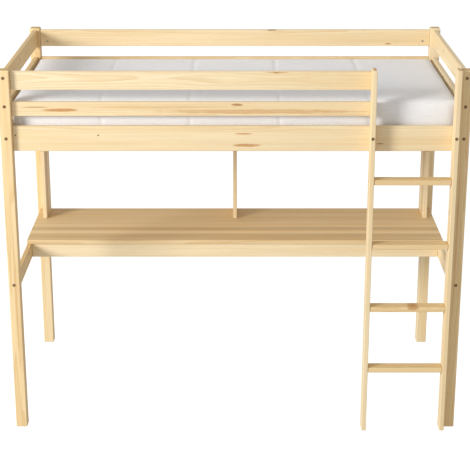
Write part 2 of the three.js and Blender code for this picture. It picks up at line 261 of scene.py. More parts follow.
def build_knot_group():
    """A branch cut across: a dark core with its own rings, which the grain of the board flows round."""
    tree, given, leave = new_group("knot", {
        "Vector": "Vector", "Middle": "Vector", "Reach": "Vector", "Seed": "Float",
        "Color": "Color", "Knot Color": "Color", "Depth": "Float", "Swirl": "Float", "Push": "Float",
    }, {"Color": "Color", "Swirl": "Float"})
    wobble = stretched_noise(tree, given["Vector"], (18.0, 60.0, 0.0), given["Seed"], 3.0, "Color")
    wobble = vectors(tree, "SUBTRACT", wobble, (0.5, 0.5, 0.5))
    wobble = vectors(tree, "MULTIPLY", wobble, (0.9, 0.9, 0.0))
    offset = vectors(tree, "SUBTRACT", given["Vector"], given["Middle"])
    offset = vectors(tree, "DIVIDE", offset, given["Reach"])
    offset = vectors(tree, "MULTIPLY", offset, (1.0, 1.0, 0.0))
    away = vectors(tree, "LENGTH", vectors(tree, "ADD", offset, wobble))
    calm = vectors(tree, "LENGTH", offset)
    core = smooth_step(tree, away, 0.55, 1.1, 1.0, 0.0)
    ring = maths(tree, "SINE", maths(tree, "MULTIPLY", away, 19.0))
    core = maths(tree, "MULTIPLY", core, maths(tree, "MULTIPLY_ADD", ring, 0.10, 0.90))
    core = maths(tree, "MULTIPLY", core, given["Depth"])
    tree.links.new(mixed(tree, core, given["Color"], given["Knot Color"]), leave.inputs["Color"])
    spread = smooth_step(tree, calm, 0.0, 3.2, 1.0, 0.0)
    swirl = maths(tree, "MULTIPLY_ADD", spread, given["Push"], given["Swirl"])
    tree.links.new(swirl, leave.inputs["Swirl"])
    return tree


def build_arris_group():
    """Where a timber's arrises are rubbed by hands, and where its sawn ends drink more finish."""
    tree, given, leave = new_group("arris_wear", {
        "Vector": "Vector", "Half Size": "Vector", "Seed": "Float",
    }, {"Wear": "Float", "End Grain": "Float"})
    inset = vectors(tree, "SUBTRACT", given["Half Size"], vectors(tree, "ABSOLUTE", given["Vector"]))
    parts = put(tree, "SeparateXYZ", {0: inset}).outputs
    nearer = maths(tree, "MINIMUM", parts[0], parts[1])
    farther = maths(tree, "MAXIMUM", parts[0], parts[1])
    edge = maths(tree, "MAXIMUM", nearer, maths(tree, "MINIMUM", farther, parts[2]))
    rub = stretched_noise(tree, given["Vector"], (9.0, 70.0, 70.0), given["Seed"], 3.0)
    edge = maths(tree, "ADD", edge, maths(tree, "MULTIPLY", rub, 0.005))
    tree.links.new(smooth_step(tree, edge, 0.0015, 0.0052, 1.0, 0.0), leave.inputs["Wear"])
    tree.links.new(smooth_step(tree, parts[0], 0.0006, 0.0020, 1.0, 0.0), leave.inputs["End Grain"])
    return tree


GRAIN = build_grain_group()
KNOT = build_knot_group()
ARRIS = build_arris_group()

PALE_PINE = {"Early Wood": (0.89, 0.745, 0.50), "Late Wood": (0.76, 0.54, 0.27),
             "Streak": (0.80, 0.58, 0.28)}
DEEP_PINE = {"Early Wood": (0.82, 0.60, 0.30), "Late Wood": (0.66, 0.41, 0.16),
             "Streak": (0.70, 0.44, 0.16)}
KNOT_BROWN = (0.20, 0.09, 0.035)
KNOT_RED = (0.36, 0.14, 0.04)
KNOT_TAN = (0.50, 0.22, 0.06)
PITCH = (0.52, 0.22, 0.045)
RUBBED = (0.93, 0.80, 0.60, 1)
SOAKED = (0.80, 0.70, 0.56, 1)


def group_node(tree, group, inputs):
    """Puts a node group in a tree and returns its outputs."""
    return put(tree, "Group", inputs, node_tree=group).outputs


def tone(depth):
    """The colours of a board, from pale sapwood (0) to deep heartwood (1); where a board is set deeper
    because it stands in shade, the deeper colour is painted shade.
    """
    return {name: (*Vector(pale).lerp(Vector(DEEP_PINE[name]), depth), 1)
            for name, pale in PALE_PINE.items()}


def pine(name, low, high, run, seed, depth, knots=(), streaks=0.45, strips=None):
    """The finish of one board.

    run is two letters, the way its grain runs and the way across its face; depth is its tone, which is
    partly the board's own and partly painted shade and light: deeper on a board that stands in shade,
    paler on one the light falls on. A knot is
    (along, across, half length, half width, colour, strength, push), measured from the board's middle.
    """
    along, across = AXES[run[0]], AXES[run[1]]
    turn = Matrix((along, across, along.cross(across))).transposed()
    size = high - low
    half = Vector((size.dot(along), size.dot(across), abs(size.dot(along.cross(across))))) / 2
    draw = random.Random(seed)
    heart = (0.0, draw.uniform(-1.2, 1.2) * half[1], draw.choice((-1, 1)) * draw.uniform(0.03, 0.08))
    ring_width = draw.uniform(0.0028, 0.0046)
    material, tree = blank_material(name)
    where = put(tree, "TexCoord").outputs["Object"]
    place = put(tree, "Mapping", {
        "Vector": where, "Location": (low + high) / 2, "Rotation": turn.to_euler()},
        vector_type="TEXTURE").outputs[0]
    grown = place
    if strips:
        glued = group_node(tree, strips[0], {
            "Vector": place, "Strip Width": strips[1], "Seed": float(seed)})
        grown = glued["Vector"]
    swirl = 0.0
    placed = []
    for index, (x, y, length, width, stain, strength, push) in enumerate(knots):
        placed.append({
            "Vector": place, "Middle": (x, y, 0), "Reach": (length, width, 1),
            "Seed": float(seed + index), "Knot Color": (*stain, 1), "Depth": strength, "Push": push})
    for knot in placed:
        swirl = group_node(tree, KNOT, {**knot, "Swirl": swirl})["Swirl"]
    grain = group_node(tree, GRAIN, {
        "Vector": grown, "Seed": float(seed), "Heart": heart, "Ring Width": ring_width, "Swirl": swirl,
        "Streaks": streaks, **tone(depth)})
    colour = grain["Color"]
    for knot in placed:
        colour = group_node(tree, KNOT, {**knot, "Color": colour})["Color"]
    if strips:
        colour = mixed(tree, 1.0, colour, glued["Tint"], "MULTIPLY")
    arris = group_node(tree, ARRIS, {"Vector": place, "Half Size": half, "Seed": float(seed)})
    pale = mixed(tree, 0.5, colour, RUBBED)
    colour = mixed(tree, arris["Wear"], colour, pale)
    soaked = mixed(tree, 1.0, colour, SOAKED, "MULTIPLY")
    colour = mixed(tree, arris["End Grain"], colour, soaked)
    rough = maths(tree, "MULTIPLY_ADD", arris["Wear"], -0.08, grain["Roughness"])
    bump = put(tree, "Bump", {"Strength": 0.35, "Distance": 0.0004, "Height": grain["Height"]})
    wood = put(tree, "BsdfPrincipled", {
        "Base Color": colour, "Roughness": rough, "Normal": bump.outputs[0], "IOR": 1.42})
    put(tree, "OutputMaterial", {"Surface": wood.outputs[0]})
    return material


def block(size, centre=(0, 0, 0)):
    """A plain rectangular block."""
    mesh = bmesh.new()
    bmesh.ops.create_cube(mesh, size=1)
    bmesh.ops.scale(mesh, vec=size, verts=mesh.verts)
    bmesh.ops.translate(mesh, vec=centre, verts=mesh.verts)
    return mesh


def squared(low, high, arris, segments=3):
    """A squared timber between two corners, its arrises rounded."""
    mesh = block(high - low, (low + high) / 2)
    bmesh.ops.bevel(mesh, geom=mesh.edges[:], offset=arris, offset_type="OFFSET", affect="EDGES",
                    segments=segments, profile=0.5, material=-1)
    return mesh


def rounded_top(low, high, arris):
    """An upright timber, its top rounded over on all four sides by two passes of the router."""
    spare = Vector((0, 0, TRIM))
    mesh = squared(low, high + spare, arris)
    for axis in (0, 1):
        reach = Vector((TRIM, TRIM, 0))
        reach[axis] = 0
        slab = block(high - low + 2 * reach + 2 * spare, (low + high) / 2 - spare)
        top = [edge for edge in slab.edges
               if all(v.co.z > high.z - 1e-6 for v in edge.verts)
               and abs(edge.verts[0].co[axis] - edge.verts[1].co[axis]) < 1e-6]
        bmesh.ops.bevel(slab, geom=top, offset=TOP_ROUNDING, offset_type="OFFSET", affect="EDGES",
                        segments=6, profile=0.5, material=-1)
        mesh = combined(mesh, [slab], "INTERSECT")
    return mesh


def set_at(mesh, start, way):
    """Turns a shape made along Z to point another way, and moves it to its place."""
    turn = Vector(way).to_track_quat("Z", "Y").to_matrix().to_4x4()
    bmesh.ops.transform(mesh, matrix=Matrix.Translation(start) @ turn, verts=mesh.verts)
    return mesh


def turned(profile, start, way, sides=24):
    """A round solid turned about a line; the profile is a list of (distance along the line, radius)."""
    mesh = bmesh.new()
    ends = [mesh.verts.new((radius, 0, distance)) for distance, radius in profile]
    edges = [mesh.edges.new(pair) for pair in zip(ends, ends[1:])]
    bmesh.ops.spin(mesh, geom=ends + edges, cent=(0, 0, 0), axis=(0, 0, 1), angle=2 * math.pi,
                   steps=sides, use_merge=True)
    bmesh.ops.remove_doubles(mesh, verts=mesh.verts, dist=1e-7)
    bmesh.ops.recalc_face_normals(mesh, faces=mesh.faces)
    return set_at(mesh, start, way)


def joined(meshes):
    """Several shapes as one mesh."""
    whole = bmesh.new()
    for part in meshes:
        data = bpy.data.meshes.new("part")
        part.to_mesh(data)
        part.free()
        whole.from_mesh(data)
        bpy.data.meshes.remove(data)
    return whole


def combined(mesh, tools, operation="DIFFERENCE"):
    """One shape less the tools' shapes, or only what lies within them."""
    things = []
    for part in (mesh, joined(tools)):
        data = bpy.data.meshes.new("part")
        part.to_mesh(data)
        part.free()
        things.append(bpy.data.objects.new("part", data))
        bpy.context.scene.collection.objects.link(things[-1])
    cutter = things[0].modifiers.new("cut", "BOOLEAN")
    cutter.operation = operation
    cutter.solver = "EXACT"
    cutter.use_self = True
    cutter.object = things[1]
    cut = things[0].evaluated_get(bpy.context.evaluated_depsgraph_get())
    result = bmesh.new()
    result.from_mesh(cut.to_mesh())
    for thing in things:
        bpy.data.meshes.remove(thing.data)
    return result


def fixed_piece(name, mesh, material, nodes=(), body="bedstead", tools=()):
    """A finished piece: cut, given its finish, and fixed to the body it belongs to."""
    if tools:
        mesh = combined(mesh, tools)
    shape = bpy.data.meshes.new(name)
    mesh.to_mesh(shape)
    mesh.free()
    shape.materials.append(material)
    shape.shade_smooth()
    shape.set_sharp_from_angle(angle=math.radians(35))
    item = bpy.data.objects.new(name, shape)
    bpy.context.scene.collection.objects.link(item)
    even = item.modifiers.new("even_shading", "WEIGHTED_NORMAL")
    even.keep_sharp = True
    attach(item, body)
    if nodes:
        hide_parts(*nodes)


def pocket(face_point, inward, through):
    """The stepped hole for a bolt: a broken rim, a pocket for the head, then the hole for the shank."""
    mouth = POCKET_RADIUS + BROKEN_RIM
    return turned([(-OVERCUT, 0), (-OVERCUT, mouth), (0, mouth), (BROKEN_RIM, POCKET_RADIUS),
                   (POCKET_DEPTH, POCKET_RADIUS), (POCKET_DEPTH, SHANK_HOLE),
                   (through, SHANK_HOLE), (through, 0)], face_point, inward)


def middle(node):
    """The middle of a part's box."""
    low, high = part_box(node)
    return (low + high) / 2


def end_bolt_place(level, end):
    """X and Z of the bolt that runs from a front or rear post into an end board."""
    place = middle(f"bolt_{level}_{end}")
    return place.x, place.z


def build_posts():
    posts = {                              # seed, tone and the streak of pitch in each; each tone is partly painted shade and light, deeper or paler to suit the light on the post
        "front_left": (11, 0.75, (-0.18, 0.006, 0.380, 0.0060, PITCH, 0.35, 0.004)),
        "front_right": (23, 0.75, (0.05, -0.009, 0.420, 0.0045, PITCH, 0.40, 0.003)),
        "rear_left": (37, 0.5, (0.22, 0.004, 0.150, 0.0070, PITCH, 0.40, 0.005)),
        "rear_right": (41, 0.0, (0.40, 0.010, 0.200, 0.0050, PITCH, 0.30, 0.003)),
    }
    for where, (seed, shade, streak) in posts.items():
        depth, end = where.split("_")
        low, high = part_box(f"post_{where}")
        face, inward = (low.y, 1) if depth == "front" else (high.y, -1)
        outer, into = (low.x, 1) if end == "left" else (high.x, -1)
        bores = []
        for level in LEVELS:
            x, z = end_bolt_place(level, end)
            bores.append(pocket((x, face, z), (0, inward, 0), high.y - low.y + BREAKTHROUGH))
        for level, z in LONG_BOLT_HEIGHTS.items():
            y = middle(f"{level}_{depth}").y
            bores.append(pocket((outer, y, z), (into, 0, 0), high.x - low.x + BREAKTHROUGH))
        finish = pine(f"pine_post_{where}", low, high, "ZX", seed, shade, [streak], 0.6)
        fixed_piece(f"post_{where}_wood", rounded_top(low, high, POST_ARRIS), finish,
                    [f"post_{where}"], tools=bores)


build_posts()


# ---- The boards round the bed ----
# Guard boards and bed rails, 22 mm pine with rounded arrises. Each is butted against the posts and
# drawn tight by a bolt in its end, which runs into a cross-dowel nut let in from the inner face.

BOARD_ARRIS = 0.003
BOLT_REACH = 0.046
NUT_INSET = 0.036
NUT_HOLE = 0.0053
NUT_FLOOR = 0.018                          # depth of the nut's blind hole
NUT_RIM = 0.0005
HALF_BOARD = 0.011
LADDER_GAP = 0.9                           # a board that ends short of this stops at the ladder


def end_bores(end_point, inward, inner_face):
    """The hole in a board's end, and the blind hole for its nut from the inner face."""
    nut_point = Vector(end_point) + NUT_INSET * Vector(inward)
    nut_point += Vector(inner_face) * HALF_BOARD
    mouth = NUT_HOLE + NUT_RIM
    return [
        turned([(-OVERCUT, 0), (-OVERCUT, SHANK_HOLE), (BOLT_REACH, SHANK_HOLE), (BOLT_REACH, 0)],
               end_point, inward, 16),
        turned([(-OVERCUT, 0), (-OVERCUT, mouth), (0, mouth), (NUT_RIM, NUT_HOLE),
                (NUT_FLOOR, NUT_HOLE), (NUT_FLOOR, 0)], nut_point, -Vector(inner_face)),
    ]


def build_end_boards():
    seeds = {"top_guard": 3, "second_guard": 5, "bed_rail": 7, "desk_rail": 9}
    for end, side in (("left", -1), ("right", 1)):
        for level in LEVELS:
            node = f"{level}_{end}"
            low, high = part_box(node)
            x, z = end_bolt_place(level, end)
            bores = end_bores((x, low.y, z), (0, 1, 0), (-side, 0, 0))
            bores += end_bores((x, high.y, z), (0, -1, 0), (-side, 0, 0))
            seed = seeds[level] + (50 if end == "left" else 70)
            knots = [(0.10 * side, 0.010, 0.011, 0.008, KNOT_BROWN, 0.6, 0.004)]
            # Painted shade and light: the left end boards, whose inner faces turn away from the key
            # light, are set deep, and the right ones, which face it, pale.
            shade = 0.95 if end == "left" else 0.05
            finish = pine(f"pine_{node}", low, high, "YZ", seed, shade, knots)
            fixed_piece(f"{node}_wood", squared(low, high, BOARD_ARRIS), finish,
                        [node], tools=bores)


def ladder_bores(low, high):
    """Two holes at each end of the front rail, so that the ladder fits either end."""
    depth, mouth = high.y - low.y, SHANK_HOLE + BROKEN_RIM
    bores = []
    for where in ("left", "right"):
        bolt_middle = middle(f"ladder_bolt_{where}")
        for x in (-bolt_middle.x, bolt_middle.x):
            bores.append(turned([
                (-OVERCUT, 0), (-OVERCUT, mouth), (0, mouth), (BROKEN_RIM, SHANK_HOLE),
                (depth - BROKEN_RIM, SHANK_HOLE), (depth, mouth), (depth + OVERCUT, mouth),
                (depth + OVERCUT, 0)], (x, low.y, bolt_middle.z), (0, 1, 0)))
    return bores


def build_long_boards():
    boards = {                             # seed, tone and knots of each; the tones are partly painted shade and light, set to suit the light on each board
        "top_guard_front": (101, 0.10, [
            (0.369, 0.036, 0.011, 0.004, KNOT_BROWN, 0.75, 0.003),
            (0.372, 0.037, 0.060, 0.004, PITCH, 0.6, 0.0)]),
        "second_guard_front": (102, 0.35, [
            (0.195, 0.020, 0.030, 0.0065, KNOT_RED, 0.85, 0.006),
            (-0.700, 0.009, 0.066, 0.0030, KNOT_RED, 0.80, 0.002),
            (-0.590, -0.004, 0.085, 0.0085, PITCH, 0.90, 0.003),
            (-0.180, 0.009, 0.360, 0.0060, PITCH, 0.28, 0.0),
            (0.290, -0.011, 0.520, 0.0110, PITCH, 0.50, 0.0)]),
        "bed_rail_front": (103, 0.25, [
            (0.040, 0.023, 0.048, 0.0045, PITCH, 0.8, 0.003),
            (0.049, -0.031, 0.070, 0.0080, KNOT_TAN, 0.85, 0.006),
            (0.650, -0.023, 0.018, 0.0035, KNOT_BROWN, 0.7, 0.003)]),
        "top_guard_rear": (104, 0.3, [
            (0.188, 0.041, 0.030, 0.0035, KNOT_BROWN, 0.75, 0.003),
            (0.779, -0.029, 0.017, 0.0045, KNOT_RED, 0.80, 0.003)]),
        "second_guard_rear": (105, 0.3, [(0.42, -0.008, 0.012, 0.008, KNOT_BROWN, 0.6, 0.005)]),
        "bed_rail_rear": (106, 0.3, [(-0.12, 0.020, 0.018, 0.012, KNOT_BROWN, 0.7, 0.006)]),
    }
    for node, (seed, shade, knots) in boards.items():
        level, depth = node.rsplit("_", 1)
        inner = (0, 1, 0) if depth == "front" else (0, -1, 0)
        low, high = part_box(node)
        y = (low.y + high.y) / 2
        z = LONG_BOLT_HEIGHTS[level]
        bores = end_bores((low.x, y, z), (1, 0, 0), inner)
        if high.x > LADDER_GAP:
            bores += end_bores((high.x, y, z), (-1, 0, 0), inner)
        if node == "bed_rail_front":
            bores += ladder_bores(low, high)
        finish = pine(f"pine_{node}", low, high, "XZ", seed, shade, knots, 0.6)
        fixed_piece(f"{node}_wood", squared(low, high, BOARD_ARRIS), finish,
                    [node], tools=bores)


build_end_boards()
build_long_boards()


# ---- The slats and their ledgers ----
# Thirteen planed slats of bare pine, which lie across on two ledgers screwed along the insides of the
# bed rails.

SLATS = 13
SLAT_ARRIS = 0.0015
PANEL_ARRIS = 0.0025


def build_slats():
    for number in range(1, SLATS + 1):
        node = f"slat_{number:02d}"
        low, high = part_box(node)
        knots = [(0.29 * math.sin(2.1 * number), 0.012 * math.cos(number), 0.010, 0.007,
                  KNOT_BROWN, 0.6, 0.004)]
        finish = pine(f"pine_{node}", low, high, "YX", 200 + number, 0.5, knots, 0.7)
        fixed_piece(f"{node}_wood", squared(low, high, SLAT_ARRIS, 2), finish, [node])
    for depth in ("front", "rear"):
        node = f"slat_ledger_{depth}"
        low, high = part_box(node)
        finish = pine(f"pine_{node}", low, high, "XZ", 220 + len(depth), 0.5, [], 0.7)
        fixed_piece(f"{node}_wood", squared(low, high, PANEL_ARRIS), finish, [node])


build_slats()


# ---- The desk ----
# An edge-glued pine panel, 20 mm thick, screwed down on two aprons and on the rails of both ends.

STRIP_WIDTH = 0.050


def build_strip_group():
    """Strips glued edge to edge: each has grain and a tone of its own, with a fine line between two."""
    tree, given, leave = new_group("glued_strips", {
        "Vector": "Vector", "Strip Width": "Float", "Seed": "Float",
    }, {"Vector": "Vector", "Tint": "Color"})
    parts = put(tree, "SeparateXYZ", {0: given["Vector"]}).outputs
    count = maths(tree, "DIVIDE", parts[1], given["Strip Width"])
    strip = maths(tree, "FLOOR", count)
    own = put(tree, "TexWhiteNoise", {"W": maths(tree, "MULTIPLY_ADD", strip, 1.37, given["Seed"])},
              noise_dimensions="1D").outputs
    shift = vectors(tree, "MULTIPLY", own["Color"], (4.0, 0.3, 0.1))
    tree.links.new(vectors(tree, "ADD", given["Vector"], shift), leave.inputs["Vector"])
    within = maths(tree, "FRACT", count)
    edge = maths(tree, "MINIMUM", within, maths(tree, "SUBTRACT", 1.0, within))
    line = smooth_step(tree, edge, 0.004, 0.014, 0.78, 1.0)
    shade = maths(tree, "MULTIPLY", line, smooth_step(tree, own["Value"], 0.0, 1.0, 0.86, 1.10))
    warm = put(tree, "CombineColor", {
        0: shade,
        1: maths(tree, "MULTIPLY", shade, smooth_step(tree, own["Value"], 0.0, 1.0, 0.95, 1.0)),
        2: maths(tree, "MULTIPLY", shade, smooth_step(tree, own["Value"], 0.0, 1.0, 0.86, 1.0))})
    tree.links.new(warm.outputs[0], leave.inputs["Tint"])
    return tree


STRIPS = build_strip_group()


def build_desk():
    low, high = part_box("desk_top")
    # The desk top's tone is partly painted light: it is set paler to make up for the shade of the bed
    # over it.
    finish = pine("pine_desk_top", low, high, "XY", 301, 0.52, [
        (0.02, 0.03, 0.200, 0.0070, PITCH, 0.25, 0.006),
        (0.55, -0.08, 0.160, 0.0060, PITCH, 0.22, 0.004)], 0.65, (STRIPS, STRIP_WIDTH))
    fixed_piece("desk_top_wood", squared(low, high, PANEL_ARRIS), finish, ["desk_top"])
    for depth, seed in (("front", 303), ("rear", 304)):
        node = f"desk_apron_{depth}"
        low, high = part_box(node)
        finish = pine(f"pine_{node}", low, high, "XZ", seed, 0.0, [])
        fixed_piece(f"{node}_wood", squared(low, high, BOARD_ARRIS), finish, [node])


build_desk()


# ---- The shelf on the desk ----
# Three uprights and one board of 20 mm edge-glued pine, doweled together. It stands on the back of the
# desk, just in front of the rear posts.

SHELF_ARRIS = 0.002


def build_shelf():
    for where, seed in (("left", 311), ("middle", 312), ("right", 313)):
        node = f"shelf_upright_{where}"
        low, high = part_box(node)
        # The uprights get the palest tone partly as painted light, to brighten them where they stand in
        # the shade of the bed.
        finish = pine(f"pine_{node}", low, high, "ZY", seed, 0.0, [], 0.5, (STRIPS, STRIP_WIDTH))
        fixed_piece(f"{node}_wood", squared(low, high, SHELF_ARRIS), finish, [node])
    low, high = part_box("shelf_board")
    finish = pine("pine_shelf_board", low, high, "XY", 314, 0.5, [], 0.5, (STRIPS, STRIP_WIDTH))
    fixed_piece("shelf_board_wood", squared(low, high, SHELF_ARRIS), finish,
                ["shelf_board"])


build_shelf()


# ---- The ladder ----
# Two planks on edge with rounded tops, bolted to the front rail, and four flat rungs, each held by two
# screws through both stringers.

STRINGER_ARRIS = 0.003
SCREW_RADIUS = 0.0042
SCREW_SPREAD = 0.014                       # of a rung's two screws, to either side of its middle
SCREW_HOLE = 0.0022                        # depth of the countersunk hole for a screw's head
RUNGS = range(1, 5)
RUNG_ARRIS = 0.004


def screw_places(outer):
    """Where the screws of all the rungs enter a stringer; outer is the X of its outer face."""
    rungs = [middle(f"rung_{number}") for number in RUNGS]
    return [Vector((outer, rung.y + offset, rung.z)) for rung in rungs
            for offset in (-SCREW_SPREAD, SCREW_SPREAD)]


def build_ladder():
    for where, side, seed in (("left", -1, 401), ("right", 1, 402)):
        node = f"ladder_stringer_{where}"
        low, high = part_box(node)
        bolt_middle = middle(f"ladder_bolt_{where}")
        bores = [pocket((bolt_middle.x, low.y, bolt_middle.z), (0, 1, 0), high.y - low.y + BREAKTHROUGH)]
        for place in screw_places(low.x if side < 0 else high.x):
            bores.append(turned([(-OVERCUT, 0), (-OVERCUT, SCREW_RADIUS), (SCREW_HOLE, SCREW_RADIUS),
                                 (SCREW_HOLE, 0)], place, (-side, 0, 0), 16))
        finish = pine(f"pine_{node}", low, high, "ZY", seed, 0.15, [
            (0.21 * side, 0.008, 0.018, 0.006, KNOT_BROWN, 0.5, 0.004)])
        fixed_piece(f"{node}_wood", rounded_top(low, high, STRINGER_ARRIS), finish,
                    [node], tools=bores)
    for number in RUNGS:
        node = f"rung_{number}"
        low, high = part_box(node)
        run, knots = "XY", []
        if number == 2:
            run, knots = "XZ", [(0.027, 0.009, 0.032, 0.0095, KNOT_TAN, 0.8, 0.004)]
        # The rungs' deep tone is partly painted shade, for their tops that lie in the shade of the
        # stringers.
        finish = pine(f"pine_{node}", low, high, run, 410 + number, 0.75, knots)
        fixed_piece(f"{node}_wood", squared(low, high, RUNG_ARRIS), finish, [node])


build_ladder()


# ---- Bolts, nuts and screws ----
# Socket-head bolts of dark bronzed steel, cross-dowel nuts with a slot to turn them by, and countersunk
# screws with a cross recess.

BOLT_HEAD_RADIUS = 0.0064
BOLT_HEAD_HEIGHT = 0.004
BOLT_RADIUS = 0.003
SOCKET_RADIUS = 0.0024
BOLT_SINK = 0.002                          # of the hidden bolts' heads below the wood
NUT_SINK = 0.0008
SCREW_SINK = 0.0003


def build_metal_group():
    """Bronzed steel: small patches where the finish is thicker or thinner, and fine scratches."""
    tree, given, leave = new_group("bronzed_steel", {
        "Vector": "Vector", "Dark": "Color", "Bright": "Color",
    }, {"Color": "Color", "Roughness": "Float", "Height": "Float"})
    patch = stretched_noise(tree, given["Vector"], (300.0, 300.0, 300.0), 1.0, 4.0)
    scratch = stretched_noise(tree, given["Vector"], (2500.0, 400.0, 1500.0), 2.0, 2.0)
    tree.links.new(mixed(tree, smooth_step(tree, patch, 0.4, 0.7), given["Dark"], given["Bright"]),
                   leave.inputs["Color"])
    tree.links.new(smooth_step(tree, scratch, 0.3, 0.7, 0.28, 0.50), leave.inputs["Roughness"])
    tree.links.new(scratch, leave.inputs["Height"])
    return tree


METAL = build_metal_group()


def steel(name, dark, bright, metallic):
    """The finish of a fastener, between its dark and its bright patches."""
    material, tree = blank_material(name)
    where = put(tree, "TexCoord").outputs["Object"]
    made = group_node(tree, METAL, {"Vector": where, "Dark": (*dark, 1), "Bright": (*bright, 1)})
    bump = put(tree, "Bump", {"Strength": 0.2, "Distance": 0.00005, "Height": made["Height"]})
    metal = put(tree, "BsdfPrincipled", {
        "Base Color": made["Color"], "Roughness": made["Roughness"], "Metallic": metallic,
        "Normal": bump.outputs[0]})
    put(tree, "OutputMaterial", {"Surface": metal.outputs[0]})
    return material


BRONZE = steel("bronzed_bolt", (0.24, 0.13, 0.06), (0.44, 0.28, 0.15), 0.6)
ZINC = steel("zinc_nut", (0.42, 0.40, 0.36), (0.62, 0.60, 0.55), 1.0)


def bolt(start, way, reach):
    """A bolt with a rounded head; start is the middle of the head's outer face."""
    rounding = 0.0008
    return turned([(0, 0), (0, BOLT_HEAD_RADIUS - rounding),
                   (rounding * 0.3, BOLT_HEAD_RADIUS - rounding * 0.3),
                   (rounding, BOLT_HEAD_RADIUS), (BOLT_HEAD_HEIGHT, BOLT_HEAD_RADIUS),
                   (BOLT_HEAD_HEIGHT, BOLT_RADIUS), (reach - 0.001, BOLT_RADIUS),
                   (reach, BOLT_RADIUS - 0.001), (reach, 0)], start, way, 20)


def socket(start, way):
    """The tool that presses a hexagonal socket into a bolt's head."""
    back = Vector(start) - 0.001 * Vector(way)
    return turned([(0, 0), (0, SOCKET_RADIUS), (0.0035, SOCKET_RADIUS), (0.0042, 0)], back, way, 6)


def nut(face_point, inward):
    """A cross-dowel nut, seen as the end of a round bar."""
    return turned([(0, 0), (0, 0.0045), (0.0005, 0.005), (0.016, 0.005), (0.016, 0)],
                  face_point, inward, 20)


def slot_tool(face_point, inward):
    """The saw cut across a nut's face."""
    return set_at(block((0.012, 0.0014, 0.003)), face_point, inward)


def screw(start, way):
    """The head of a screw; its shank is out of sight in the wood."""
    rim = SCREW_RADIUS - 0.0002
    return turned([(0, 0), (0, SCREW_RADIUS - 0.0008), (0.0005, rim), (0.0014, rim),
                   (0.0018, 0.002), (0.0018, 0)], start, way, 16)


def cross_tool(start, way):
    """The two blades that press a cross recess into a screw's head."""
    return [set_at(block(blade), start, way)
            for blade in ((0.0042, 0.0009, 0.0018), (0.0009, 0.0042, 0.0018))]


def build_bolts():
    for end in ("left", "right"):
        for node in [f"bolt_{level}_{end}" for level in LEVELS] + [f"ladder_bolt_{end}"]:
            low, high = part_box(node)
            start = Vector(((low.x + high.x) / 2, low.y, (low.z + high.z) / 2))
            fixed_piece(f"{node}_socket_head", bolt(start, (0, 1, 0), high.y - low.y), BRONZE,
                        [node], tools=[socket(start, (0, 1, 0))])


def build_hidden_bolts():
    """The bolts that no front view shows: in the rear posts, and along the bed into the long boards."""
    for end, side in (("left", -1), ("right", 1)):
        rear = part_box(f"post_rear_{end}")[1].y
        front_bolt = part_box(f"bolt_top_guard_{end}")
        reach = front_bolt[1].y - front_bolt[0].y
        starts = []
        for level in LEVELS:
            x, z = end_bolt_place(level, end)
            starts.append((Vector((x, rear - BOLT_SINK, z)), (0, -1, 0)))
        fixed_piece(f"rear_bolts_{end}", joined([bolt(start, way, reach) for start, way in starts]),
                    BRONZE, tools=[socket(start, way) for start, way in starts])
        for depth in ("front", "rear"):
            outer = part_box(f"post_{depth}_{end}")[0 if side < 0 else 1].x
            starts = []
            for level, z in LONG_BOLT_HEIGHTS.items():
                low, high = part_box(f"{level}_{depth}")
                if side > 0 and high.x < LADDER_GAP:
                    continue
                start = Vector((outer - side * BOLT_SINK, (low.y + high.y) / 2, z))
                starts.append((start, (-side, 0, 0)))
            fixed_piece(f"side_bolts_{depth}_{end}",
                        joined([bolt(start, way, reach) for start, way in starts]),
                        BRONZE, tools=[socket(start, way) for start, way in starts])


def fixed_nuts(name, places, inward):
    """The nuts of one board, each with the slot it is turned by."""
    fixed_piece(name, joined([nut(place, inward) for place in places]), ZINC,
                tools=[slot_tool(place, inward) for place in places])


def build_nuts():
    for end, side in (("left", -1), ("right", 1)):
        for level in LEVELS:
            low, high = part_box(f"{level}_{end}")
            x, z = end_bolt_place(level, end)
            face = low.x if side > 0 else high.x
            ends = (low.y + NUT_INSET, high.y - NUT_INSET)
            places = [Vector((face + side * NUT_SINK, y, z)) for y in ends]
            fixed_nuts(f"nuts_{level}_{end}", places, (side, 0, 0))
    for depth, side in (("front", -1), ("rear", 1)):
        for level, z in LONG_BOLT_HEIGHTS.items():
            low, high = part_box(f"{level}_{depth}")
            face = high.y if side < 0 else low.y
            ends = [low.x + NUT_INSET] + ([high.x - NUT_INSET] if high.x > LADDER_GAP else [])
            places = [Vector((x, face + side * NUT_SINK, z)) for x in ends]
            fixed_nuts(f"nuts_{level}_{depth}", places, (0, side, 0))


def build_screws():
    for where, side in (("left", -1), ("right", 1)):
        low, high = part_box(f"ladder_stringer_{where}")
        outer = low.x if side < 0 else high.x
        places = screw_places(outer - side * SCREW_SINK)
        fixed_piece(f"rung_screws_{where}", joined([screw(place, (-side, 0, 0)) for place in places]),
                    BRONZE,
                    tools=[tool for place in places for tool in cross_tool(place, (-side, 0, 0))])


build_bolts()
build_hidden_bolts()
build_nuts()
build_screws()


# ---- The mattress ----
# A foam core, 2000 x 900 x 160 mm, in a fitted cover of plain white ticking with a corded seam round
# its top. The foam is packed folded, so four soft creases run across it.

COVER_SLACK = 0.005                        # how far the foam presses the cover out
COVER_CORNER = 0.016
COVER_EDGE = 0.007
NET_SIZE = 0.020
FINE_STEP = 0.006                          # of the net beside a crease
FINE_STEPS = 3                             # on either side of it
CREASES = (-0.60, -0.20, 0.20, 0.60)
CREASE_REACH = 0.011
CREASE_DEPTH = 0.0012
UNEVENNESS = 0.0012
SWELL_FRAMES = 20
HELD_HEIGHT = 0.004                        # the underside, held fast where it lies on the slats
SEAM_DROP = 0.007                          # of the seam below the top
SEAM_RADIUS = 0.0016
SEAM_STEP = 0.015
SEAM_SIDES = 8
THREAD = 0.0011


